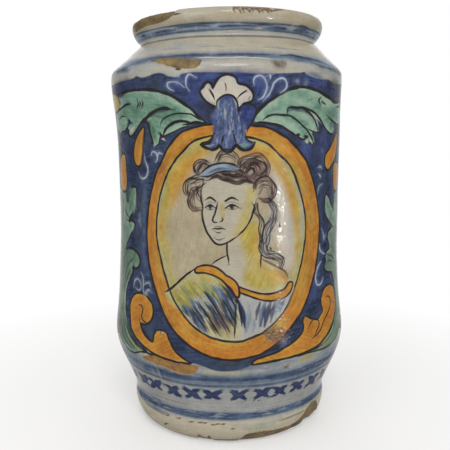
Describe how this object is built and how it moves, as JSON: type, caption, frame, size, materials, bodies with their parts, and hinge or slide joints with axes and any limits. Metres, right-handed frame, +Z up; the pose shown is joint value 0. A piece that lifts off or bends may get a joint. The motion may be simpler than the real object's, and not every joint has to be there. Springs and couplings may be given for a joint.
{
  "type": "maiolica storage jar",
  "caption": "Waisted open-mouthed storage jar of tin-glazed earthenware with a turned foot, sloping shoulder, flared lip and painted decoration.",
  "frame": {"origin": "centre of the foot ring's underside, at the height of the surface that the jar stands on", "axes": "+Z up along the pot's axis, -Y the painted front, +X to the viewer's right of it"},
  "size_m": [0.1785, 0.1786, 0.3011],
  "materials": {
    "fired_clay": "bare fired earthenware, matt and slightly sandy",
    "tin_glaze": "opaque tin glaze, glossy, painted in blue, green, ochre, yellow and manganese",
    "lead_glaze": "thin honey-toned glaze, glossy"
  },
  "bodies": {
    "root": {"clay_body": "fired_clay", "outer_glaze": "tin_glaze", "inner_glaze": "lead_glaze"}
  },
  "joints": []
}
